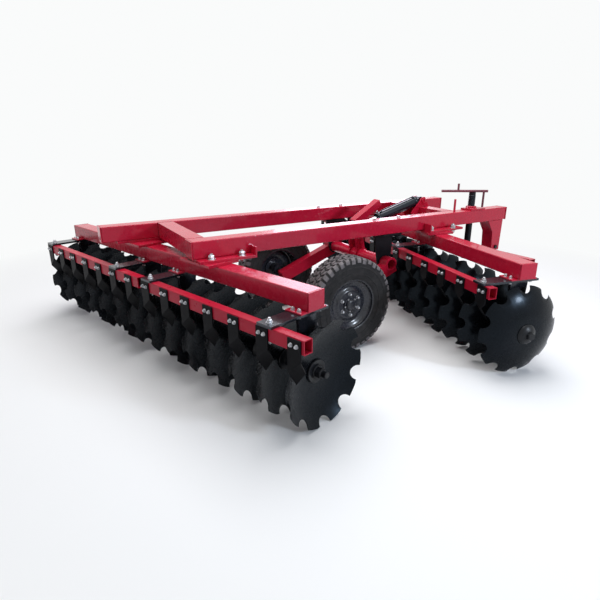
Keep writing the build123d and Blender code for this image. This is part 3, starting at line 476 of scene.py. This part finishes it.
def disc_mesh():
    """Points and faces of one disc about X, concave face towards +X, rim plane at X = 0."""
    outline = notched_outline()
    count = len(outline)
    rings = []
    for side, bevel in enumerate(EDGE_BEVELS):
        ring_set = []
        for share in ("hole", *DISC_STEPS, "edge", "rim"):
            ring = []
            for angle, rim in outline:
                back = DISC_THICK * side
                if share == "hole":
                    radius = DISC_HOLE
                elif share == "edge":
                    radius = rim - DISC_EDGE
                elif share == "rim":
                    radius = rim
                    back = bevel
                else:
                    radius = DISC_FLAT + (rim - DISC_EDGE - DISC_FLAT) * share
                ring.append((dish(radius) - back, radius * cos(angle), radius * sin(angle)))
            ring_set.append(ring)
        rings += ring_set if side == 0 else ring_set[::-1]
    points = [p for ring in rings for p in ring]
    faces = []
    for r in range(len(rings)):
        s = (r + 1) % len(rings)
        for i in range(count):
            j = (i + 1) % count
            faces.append((r * count + i, r * count + j, s * count + j, s * count + i))
    return points, faces


DISC_POINTS, DISC_FACES = disc_mesh()
SIDE_GANGS = (
    # name, gang, first rim plane, way of the concave faces
    ("rear_right", "rear", REAR_FIRST, 1),
    ("rear_left", "rear", REAR_FIRST - DISCS_A_SIDE * DISC_PITCH, 1),
    ("front_right", "front", FRONT_FIRST, -1),
    ("front_left", "front", FRONT_FIRST - DISCS_A_SIDE * DISC_PITCH, -1),
)
SPOOL_CORE, JOURNAL_CORE = 0.042, 0.035
# Ends of an axle as outlines of (along, radius) with the steps round them, outwards from the last disc
HOLLOW_END = (
    ([(-0.004, 0), (-0.004, 0.070), (0.002, 0.0735), (0.010, 0.0735), (0.014, 0.070), (0.014, 0.056),
      (0.010, 0.050), (0.010, 0)], 40),
    ([(0.008, 0), (0.008, 0.040), (0.018, 0.040), (0.021, 0.037), (0.021, 0)], 28),
    ([(0.018, 0), (0.018, 0.034), (0.054, 0.034), (0.060, 0.029), (0.060, 0)], 6),
    ([(0.055, 0), (0.055, 0.021), (0.088, 0.021), (0.092, 0.018), (0.092, 0)], 20),
)
DOME_END = (
    ([(-0.004, 0), (-0.004, 0.071), (0.003, 0.0735), (0.010, 0.070), (0.019, 0.060), (0.027, 0.046),
      (0.032, 0.034), (0.034, 0.028), (0.034, 0)], 40),
    ([(0.030, 0), (0.030, 0.031), (0.050, 0.031), (0.056, 0.026), (0.057, 0)], 6),
)


def spool_outline(long, core):
    """Spool between two discs: a flange at each end, a thinner core."""
    return [
        (0, 0), (0, 0.066), (0.005, 0.069), (0.010, 0.066), (0.020, core + 0.006), (0.032, core),
        (long - 0.032, core), (long - 0.020, core + 0.006), (long - 0.010, 0.066),
        (long - 0.005, 0.069), (long, 0.066), (long, 0),
    ]


def side_gang(name, gang, first_rim, way):
    """Seven discs, and the spools, flanges and nuts that clamp them, on the gang's own axis."""
    right, ahead = gang_ways(gang)
    basis = Matrix((right, ahead, right.cross(ahead))).transposed().to_4x4()
    rims = [first_rim - i * DISC_PITCH for i in range(DISCS_A_SIDE)]
    hollow = [rim - way * DISC_DEPTH for rim in rims]
    dome = [rim - way * (DISC_DEPTH + DISC_THICK) for rim in rims]
    turned = Matrix.Rotation(0 if way > 0 else pi, 4, "Z")
    discs = Shape()
    for i, rim in enumerate(rims):
        origin = gang_point(gang, rim, AXLE_AHEAD[gang], AXLE_Z)
        spun = Matrix.Rotation(radians(90 * i), 4, "X")
        discs.add(DISC_POINTS, DISC_FACES, Matrix.Translation(origin) @ basis @ spun @ turned)
    discs.piece(f"{name}_notched_discs", f"{name}_gang", "disc_steel", DISC, replaces=[f"{name}_discs"])

    def on_axle(t, to=1):
        return facing(gang_point(gang, t, AXLE_AHEAD[gang], AXLE_Z), right * to, UP)

    axle = Shape()
    for i in range(DISCS_A_SIDE - 1):
        low = hollow[i + 1] if way > 0 else dome[i + 1]
        high = dome[i] if way > 0 else hollow[i]
        core = JOURNAL_CORE if i in (0, ARM_SPAN) else SPOOL_CORE
        axle.lathe(spool_outline(high - low, core), on_axle(low), 32)
    for outline, steps in HOLLOW_END:
        axle.lathe(outline, on_axle(hollow[0] if way > 0 else hollow[-1], way), steps)
    for outline, steps in DOME_END:
        axle.lathe(outline, on_axle(dome[-1] if way > 0 else dome[0], -way), steps)
    axle.piece(f"{name}_spools", f"{name}_gang", "axle_steel", AXLE, replaces=[f"{name}_axle"])


for row in SIDE_GANGS:
    side_gang(*row)

# ---------------------------------------------------------------- wheels
TYRE_SIDE = (
    # across, radius
    (0.078, 0.203), (0.084, 0.207), (0.090, 0.216), (0.094, 0.232), (0.0965, 0.250), (0.1005, 0.252),
    (0.1005, 0.257), (0.098, 0.260), (0.1005, 0.283), (0.101, 0.303), (0.104, 0.305), (0.104, 0.311),
    (0.100, 0.314), (0.098, 0.332), (0.095, 0.350), (0.091, 0.362), (0.080, 0.3675), (0.055, 0.370),
    (0.025, 0.3712),
)
TYRE_OUTLINE = TYRE_SIDE + tuple((-across, radius) for across, radius in reversed(TYRE_SIDE))
RIM_OUTLINE = (
    # across, radius
    (-0.088, 0.219), (-0.084, 0.221), (-0.080, 0.216), (-0.077, 0.205), (-0.045, 0.203), (-0.030, 0.197),
    (0.030, 0.197), (0.050, 0.203), (0.077, 0.205), (0.080, 0.216), (0.084, 0.221), (0.088, 0.219),
    (0.087, 0.212), (0.082, 0.201), (0.066, 0.199), (0.056, 0.191), (0.051, 0.178), (0.046, 0.168),
    (0.038, 0.158), (0.036, 0.146), (0.040, 0.132), (0.048, 0.120), (0.053, 0.112), (0.054, 0.104),
    (0.052, 0.096), (0.052, 0.060), (0.044, 0.060), (0.044, 0.106), (0.038, 0.116), (0.030, 0.132),
    (0.026, 0.148), (0.030, 0.168), (0.036, 0.182), (0.030, 0.191), (-0.035, 0.191), (-0.050, 0.197),
    (-0.080, 0.197), (-0.087, 0.211),
)
HUB_OUTLINE = (
    # across, radius
    (0.062, 0.0), (0.062, 0.026), (-0.068, 0.026), (-0.068, 0.052), (-0.062, 0.055), (0.030, 0.055),
    (0.030, 0.098), (0.032, 0.100), (0.044, 0.100), (0.044, 0.061), (0.059, 0.061), (0.062, 0.058),
    (0.062, 0.046), (0.067, 0.045), (0.075, 0.041), (0.080, 0.034), (0.082, 0.024), (0.082, 0.0),
)
NUT_RINGS = (
    # use, radius, across, count, turn
    ("wheel", 0.086, 0.052, 6, 0.06),
    ("cap", 0.053, 0.0615, 5, 0.5),
)
PITCHES = 42
TREAD_STEP = 2 * pi / PITCHES
TREAD_RADIUS, TREAD_ROOT, TREAD_INSET = 0.380, 0.366, 0.0012
TREAD_ROWS = (
    # inner and outer edge across, skew of its ends, share of a pitch it fills, drop of its top, its offset
    (0.003, 0.028, 0.30, 0.70, 0.0000, 0.00),
    (0.033, 0.061, -0.35, 0.66, 0.0008, 0.45),
)
LUG_FEET = (0.347, 0.338)
LUG_SHARE, LUG_LEAN, LUG_INNER = 0.62, 4.0, 0.066
FLANKS = (
    # side of the tyre, offsets of its tread blocks and of its lugs in pitches
    (-1, 0.5, 0.25), (1, 0, 0.75),
)
ROUND_STEPS, HUB_STEPS = 96, 40
TREAD_SLOT = 1


def on_tyre(across, radius, angle):
    """Point on the tyre, in the wheel's own coordinates."""
    return (radius * cos(angle), radius * sin(angle), across)


def tread_block(shape, place, side, start, inner, outer, skew, share, drop):
    """Block of the road tread: narrower at its top, with slanting ends."""
    points = []
    for radius, inset in ((TREAD_ROOT, 0.0), (TREAD_RADIUS - drop, TREAD_INSET)):
        for across, lean in ((inner + inset, 0.0), (outer - inset, skew)):
            for edge in (0, 1):
                turn = inset / TREAD_RADIUS * (1 if edge == 0 else -1)
                angle = start + (lean + edge * share) * TREAD_STEP + turn
                points.append(on_tyre(side * across, radius, angle))
    faces = [(0, 1, 3, 2), (4, 6, 7, 5), (0, 4, 5, 1), (2, 3, 7, 6), (0, 2, 6, 4), (1, 5, 7, 3)]
    shape.add(points, faces, place, TREAD_SLOT)


def shoulder_lug(shape, place, side, start, foot):
    """Lug over the tyre's shoulder, down to the radius of its foot."""
    section = (
        # across, radius
        (LUG_INNER, 0.3785), (0.084, 0.3748), (0.0945, 0.366), (0.1015, foot), (0.095, foot - 0.003),
        (0.080, 0.352), (LUG_INNER, 0.362),
    )
    points = []
    for edge in (0, 1):
        for across, radius in section:
            lean = (across - LUG_INNER) * LUG_LEAN
            angle = start + (lean + edge * LUG_SHARE) * TREAD_STEP
            points.append(on_tyre(side * across, radius, angle))
    n = len(section)
    faces = [tuple(range(n)), tuple(range(2 * n - 1, n - 1, -1))]
    faces += [(k, k + n, (k + 1) % n + n, (k + 1) % n) for k in range(n)]
    shape.add(points, faces, place, TREAD_SLOT)


def wheel(name, side):
    """Tyre with its tread, rim, hub and nuts."""
    place = facing((WHEEL.x, side * WHEEL.y, WHEEL.z), (0, side, 0), UP)
    body = f"{name}_wheel"
    tyre = Shape()
    tyre.lathe(TYRE_OUTLINE, place, ROUND_STEPS)
    for i in range(PITCHES):
        for flank, block_shift, lug_shift in FLANKS:
            for *block, offset in TREAD_ROWS:
                tread_block(tyre, place, flank, (i + offset + block_shift) * TREAD_STEP, *block)
            shoulder_lug(tyre, place, flank, (i + lug_shift) * TREAD_STEP, LUG_FEET[i % 2])
    tyre.piece(f"{name}_treaded_tyre", body, "tyre", RUBBER, TREAD, replaces=[f"{name}_tyre"])
    rim = Shape()
    rim.lathe(RIM_OUTLINE, place, ROUND_STEPS)
    rim.piece(f"{name}_pressed_rim", body, "rim_paint", RIM, replaces=[f"{name}_rim"])
    hub = Shape()
    hub.lathe(HUB_OUTLINE, place, HUB_STEPS)
    hub.piece(f"{name}_hub_cap", body, "rim_paint", RIM, replaces=[f"{name}_hub"])
    nuts = Shape()
    for use, ring, across, count, first in NUT_RINGS:
        for k in range(count):
            angle = first + 2 * pi * k / count
            spot = place @ Vector((ring * cos(angle), ring * sin(angle), across))
            bolt(nuts, spot, (0, side, 0), use, angle)
    nuts.piece(f"{name}_wheel_nuts", body, "zinc", ZINC)


for name, side in (("right", -1), ("left", 1)):
    wheel(name, side)

# ---------------------------------------------------------------- bolts
SCRAPER_BOLT_OFF, SCRAPER_BOLT_Z = 0.020, ARM_LOW - 0.040
TURN_A_SCRAPER, TURN_A_METRE = 0.4, 30
scraper_bolts = Shape()
for gang, first in (("rear", REAR_FIRST), ("front", FRONT_FIRST)):
    right, ahead = gang_ways(gang)
    for i in range(2 * DISCS_A_SIDE):
        for off in (-SCRAPER_BOLT_OFF, SCRAPER_BOLT_OFF):
            t = first + SCRAPER_SHIFT[gang] - i * DISC_PITCH + off
            spot = gang_point(gang, t, -SCRAPER_BACK - SCRAPER_THICK, SCRAPER_BOLT_Z)
            bolt(scraper_bolts, spot, -ahead, "scraper", TURN_A_SCRAPER * i + off * TURN_A_METRE)
scraper_bolts.piece("scraper_bolts", "frame", "zinc", ZINC)

HANGER_BOLT = -0.283
LUG_BOLT_OFF = 0.024
LUG_BOLTS = (
    # ahead, height of the seat
    (-0.082, GANG_LOW), (0.091, GANG_LOW),
)
HANGER_STARTS = {
    "rear": REAR_FIRST - ARM_SHIFT["rear"],
    "front": FRONT_FIRST - DISC_PITCH + ARM_SHIFT["front"],
}
hanger_bolts = Shape()
for gang, start in HANGER_STARTS.items():
    for t in [start - (h * DISCS_A_SIDE + i * ARM_SPAN) * DISC_PITCH for h in (0, 1) for i in (0, 1)]:
        bolt(hanger_bolts, gang_point(gang, t, HANGER_BOLT, ARM_TOP), UP, "arm_top")
        bolt(hanger_bolts, gang_point(gang, t, HANGER_BOLT, SCRAPER_ARM_LOW), DOWN, "arm_low")
        for along, seat in LUG_BOLTS:
            for off in (-LUG_BOLT_OFF, LUG_BOLT_OFF):
                bolt(hanger_bolts, gang_point(gang, t + off, along, seat), UP, "lug_top")
                bolt(hanger_bolts, gang_point(gang, t + off, along, ARM_LOW), DOWN, "lug_low")
hanger_bolts.piece("hanger_bolts", "frame", "zinc", ZINC)

PIVOT_BOLTS = (
    # x, y, underside of what it goes through, or None where the gang beam is below it
    (-1.072, -0.523, None), (-0.854, -0.523, UPPER_LOW), (-1.404, 0.523, None), (-1.186, 0.523, UPPER_LOW),
    (0.925, -0.535, None), (1.176, -0.550, UPPER_LOW), (1.169, 0.550, None), (1.382, 0.550, UPPER_LOW),
)
pivot_bolts = Shape()
for x, y, under in PIVOT_BOLTS:
    bolt(pivot_bolts, (x, y, BEAM_LOW), UP, "pivot_top")
    if under:
        bolt(pivot_bolts, (x, y, under), DOWN, "pivot_low")
pivot_bolts.piece("pivot_bolts", "frame", "zinc", ZINC)

BEAM_BOLTS_X = (0.373, 0.635)
beam_bolts = Shape()
for x in BEAM_BOLTS_X:
    for side in (-1, 1):
        bolt(beam_bolts, (x, side * BEAM_Y, BEAM_TOP), UP, "beam")
beam_bolts.piece("beam_bolts", "frame", "zinc", ZINC)

# ---------------------------------------------------------------- levelling screw
THREAD_TURNS, THREAD_STEPS = 14, 18
THREAD_LOW, THREAD_HIGH = SCREW.z + 0.022, 1.118
THREAD_ROOT = 0.0285
THREAD_SECTION = (
    # along, radius
    (-0.0042, 0.0298), (-0.0018, 0.0325), (0.0018, 0.0325), (0.0042, 0.0298),
    (0.0042, THREAD_ROOT), (-0.0042, THREAD_ROOT),
)


def thread_mesh():
    """Points and faces of a helical ridge about Z that fades out in its first and last turn."""
    steps = THREAD_TURNS * THREAD_STEPS
    rise = (THREAD_HIGH - THREAD_LOW) / steps
    points = []
    for i in range(steps + 1):
        angle = 2 * pi * i / THREAD_STEPS
        fade = max(min(1.0, i / THREAD_STEPS, (steps - i) / THREAD_STEPS), 0.02)
        for along, radius in THREAD_SECTION:
            reach = THREAD_ROOT + (radius - THREAD_ROOT) * fade
            points.append((reach * cos(angle), reach * sin(angle), THREAD_LOW + rise * i + along))
    n = len(THREAD_SECTION)
    faces = [tuple(range(n))[::-1], tuple(range(steps * n, steps * n + n))]
    for i in range(steps):
        faces += [
            (i * n + k, i * n + (k + 1) % n, (i + 1) * n + (k + 1) % n, (i + 1) * n + k) for k in range(n)
        ]
    return points, faces


screw = Shape()
screw.add(*thread_mesh(), Matrix.Translation((SCREW.x, SCREW.y, 0)))
screw.piece("screw_thread", "frame", "black_paint", GLOSS)

COLLAR = (
    # outline of (along, radius), steps
    ([(0, 0.0315), (0, 0.046), (0.004, 0.048), (0.018, 0.048), (0.022, 0.044), (0.022, 0.0315)], 6),
    ([(-0.0005, 0.047), (-0.0005, 0.056), (0.003, 0.055), (0.007, 0.050), (0.007, 0.047)], 32),
)
collar = Shape()
for outline, steps in COLLAR:
    collar.lathe(outline, facing(SCREW, UP, (1, 0, 0)), steps)
collar.piece("screw_collar", "frame", "red_paint", RED)

# ---------------------------------------------------------------- pins and the cylinder's fittings
EYE_HALF, MAST_HALF = 0.060, 0.064
PIN_HEAD = ((0, 0), (0, 0.024), (0.002, 0.0255), (0.009, 0.0255), (0.012, 0.022), (0.012, 0))
COTTER_OUT, COTTER_HIGH, COTTER_LOW, COTTER_RADIUS = 0.006, 0.031, -0.034, 0.003
pin_heads = Shape()
for side in (-1, 1):
    spot = Vector((EYE.x, side * EYE_HALF, EYE.z))
    pin_heads.lathe(PIN_HEAD, facing(spot, (0, side, 0), UP), 24)
    ends = [spot + Vector((0, side * COTTER_OUT, z)) for z in (COTTER_HIGH, COTTER_LOW)]
    pin_heads.tube(ends, COTTER_RADIUS, 8)
pin_heads.piece("lever_pin_heads", "lift", "zinc", ZINC)

PIN_COLLAR = (
    (-0.001, 0.0155), (-0.001, 0.025), (0.002, 0.026), (0.009, 0.026), (0.011, 0.023), (0.011, 0.0155),
)
mast_collars = Shape()
for side in (-1, 1):
    mast_collars.lathe(PIN_COLLAR, facing((MAST_PIN.x, side * MAST_HALF, MAST_PIN.z), (0, side, 0), UP), 24)
mast_collars.piece("mast_pin_collars", "frame", "red_paint", RED)

TO_EYE = (EYE - MAST_PIN).normalized()
BARREL_UP = TO_EYE.cross(Vector((0, 1, 0))).normalized()
if BARREL_UP.z < 0:
    BARREL_UP = -BARREL_UP


def on_barrel(along, up, aside):
    """Point beside the cylinder's middle line, from the mast's pin towards the rod's eye."""
    return MAST_PIN + TO_EYE * along + BARREL_UP * up + Vector((0, aside, 0))


BAND = ((0, 0.040), (0, 0.0475), (0.002, 0.0485), (0.026, 0.0485), (0.028, 0.0475), (0.028, 0.040))
WIPER = ((0, 0.0235), (0, 0.030), (0.003, 0.031), (0.008, 0.030), (0.008, 0.0235))
BANDS = (
    # along, outline, steps
    (0.046, BAND, 40), (0.508, BAND, 40), (0.539, WIPER, 32),
)
glands = Shape()
for along, outline, steps in BANDS:
    glands.lathe(outline, facing(on_barrel(along, 0, 0), TO_EYE, UP), steps)
glands.piece("barrel_glands", "barrel", "black_paint", GLOSS)

PIPE_ASIDE, PIPE_RADIUS = -0.012, 0.0055
PIPE_PATH = (
    # along, up
    (0.078, 0.0485), (0.084, 0.0560), (0.100, 0.0585), (0.470, 0.0585), (0.486, 0.0560), (0.492, 0.0485),
)
PIPE_BLOCKS, BLOCK_UP = (0.080, 0.490), 0.043
BLOCK_HALF, BLOCK_HIGH, BLOCK_TAPER = 0.010, 0.013, 0.002
pipe = Shape()
pipe.tube([on_barrel(along, up, PIPE_ASIDE) for along, up in PIPE_PATH], PIPE_RADIUS, 12)
for along in PIPE_BLOCKS:
    place = facing(on_barrel(along, BLOCK_UP, PIPE_ASIDE), BARREL_UP, TO_EYE)
    pipe.block(BLOCK_HALF, BLOCK_HIGH, BLOCK_TAPER, place)
pipe.piece("barrel_pipe", "barrel", "black_paint", GLOSS)

PORTS_ALONG, PORT_UP, PORT_ASIDE = (0.062, 0.512), 0.046, 0.014
ports = Shape()
for along in PORTS_ALONG:
    bolt(ports, on_barrel(along, PORT_UP, PORT_ASIDE), BARREL_UP, "port")
ports.piece("barrel_ports", "barrel", "zinc", ZINC)

# ---------------------------------------------------------------- floor, lights, camera
WHITE = (0.955, 0.965, 0.965)
FLOOR_HALF = 60
FLOOR_LIT, FLOOR_SEEN = (0.50, 0.50, 0.51), (0.85, 0.855, 0.86)
FADE_START, FADE_END = 2.3, 5.0
AMBIENT, AMBIENT_STRENGTH = (0.78, 0.80, 0.84), 0.30


def background_rays(tree):
    """Factor socket, 1 for rays from the camera, off a gloss or through glass."""
    path = tree.nodes.new("ShaderNodeLightPath")
    seen = path.outputs["Is Camera Ray"]
    for ray in ("Is Glossy Ray", "Is Transmission Ray"):
        either = tree.nodes.new("ShaderNodeMath")
        either.operation = "MAXIMUM"
        tree.links.new(seen, either.inputs[0])
        tree.links.new(path.outputs[ray], either.inputs[1])
        seen = either.outputs[0]
    return seen


def make_floor():
    """Pale floor that keeps the shadow and fades into the white of the background."""
    corners = [(x * FLOOR_HALF, y * FLOOR_HALF, 0) for x, y in ((-1, -1), (1, -1), (1, 1), (-1, 1))]
    mesh = bpy.data.meshes.new("floor")
    mesh.from_pydata(corners, [], [(0, 1, 2, 3)])
    floor = bpy.data.objects.new("floor", mesh)
    SCENE.collection.objects.link(floor)
    made, tree, shader, add = nodes_of("floor_pale")
    tree.links.new(mix(tree, add, background_rays(tree), FLOOR_LIT, FLOOR_SEEN), shader.inputs["Base Color"])
    shader.inputs["Roughness"].default_value = 0.75
    shader.inputs["Specular IOR Level"].default_value = 0.1
    where = add("ShaderNodeNewGeometry")
    far = add("ShaderNodeVectorMath", operation="LENGTH")
    tree.links.new(where.outputs["Position"], far.inputs[0])
    glow = add("ShaderNodeEmission")
    glow.inputs["Color"].default_value = (*WHITE, 1)
    blend = add("ShaderNodeMixShader")
    fade = ramp(tree, add, far.outputs["Value"], FADE_START, FADE_END, 0.0, 1.0)
    tree.links.new(fade, blend.inputs["Fac"])
    tree.links.new(shader.outputs["BSDF"], blend.inputs[1])
    tree.links.new(glow.outputs["Emission"], blend.inputs[2])
    tree.links.new(blend.outputs["Shader"], tree.nodes["Material Output"].inputs["Surface"])
    mesh.materials.append(made)


def make_world():
    """Soft light from all round, with a white background."""
    world = bpy.data.worlds.new("studio")
    world.use_nodes = True
    SCENE.world = world
    tree = world.node_tree
    ambient = tree.nodes["Background"]
    ambient.inputs["Color"].default_value = (*AMBIENT, 1)
    ambient.inputs["Strength"].default_value = AMBIENT_STRENGTH
    white = tree.nodes.new("ShaderNodeBackground")
    white.inputs["Color"].default_value = (*WHITE, 1)
    choose = tree.nodes.new("ShaderNodeMixShader")
    tree.links.new(background_rays(tree), choose.inputs["Fac"])
    tree.links.new(ambient.outputs[0], choose.inputs[1])
    tree.links.new(white.outputs[0], choose.inputs[2])
    tree.links.new(choose.outputs[0], tree.nodes["World Output"].inputs["Surface"])


LAMPS = (
    # name, place, aimed at, size, watts, colour
    ("overhead", (0.1, 0.4, 6.0), (0, 0, 0), 7.0, 450, (1.0, 1.0, 1.0)),
    ("right_key", (2.0, -5.9, 2.5), (0.2, 0, 0.5), 0.8, 150, (0.76, 0.86, 1.0)),
    ("far_side", (4.5, 5.5, 3.2), (0, 0, 0.6), 4.0, 160, (0.92, 0.84, 1.0)),
)


def make_lamp(name, place, aim, size, watts, colour):
    """Round area lamp that points at a place."""
    data = bpy.data.lights.new(name, "AREA")
    data.shape = "DISK"
    data.size = size
    data.energy = watts
    data.color = colour
    lamp = bpy.data.objects.new(name, data)
    SCENE.collection.objects.link(lamp)
    lamp.location = place
    lamp.rotation_mode = "QUATERNION"
    lamp.rotation_quaternion = (Vector(aim) - Vector(place)).to_track_quat("-Z", "Y")


CAMERA_PLACE = Vector((-2.1058, -3.4421, 1.6278))
CAMERA_TURN, CAMERA_FALL, CAMERA_ROLL = radians(-31.66), radians(19.15), radians(0.14)


def make_camera():
    """Camera at the photograph's place, behind the harrow on its right."""
    data = bpy.data.cameras.new("camera")
    data.sensor_width = 36
    data.lens = 28.19
    data.shift_x = -0.01667
    data.shift_y = -0.001
    data.clip_start = 0.05
    data.clip_end = 200
    camera = bpy.data.objects.new("camera", data)
    SCENE.collection.objects.link(camera)
    look = Vector(
        (-sin(CAMERA_TURN) * cos(CAMERA_FALL), cos(CAMERA_TURN) * cos(CAMERA_FALL), -sin(CAMERA_FALL))
    )
    roll = Matrix.Rotation(CAMERA_ROLL, 3, "Z").to_quaternion()
    camera.location = CAMERA_PLACE
    camera.rotation_mode = "QUATERNION"
    camera.rotation_quaternion = look.to_track_quat("-Z", "Y") @ roll
    SCENE.camera = camera


make_floor()
make_world()
for row in LAMPS:
    make_lamp(*row)
make_camera()
SCENE.view_settings.view_transform = "Standard"
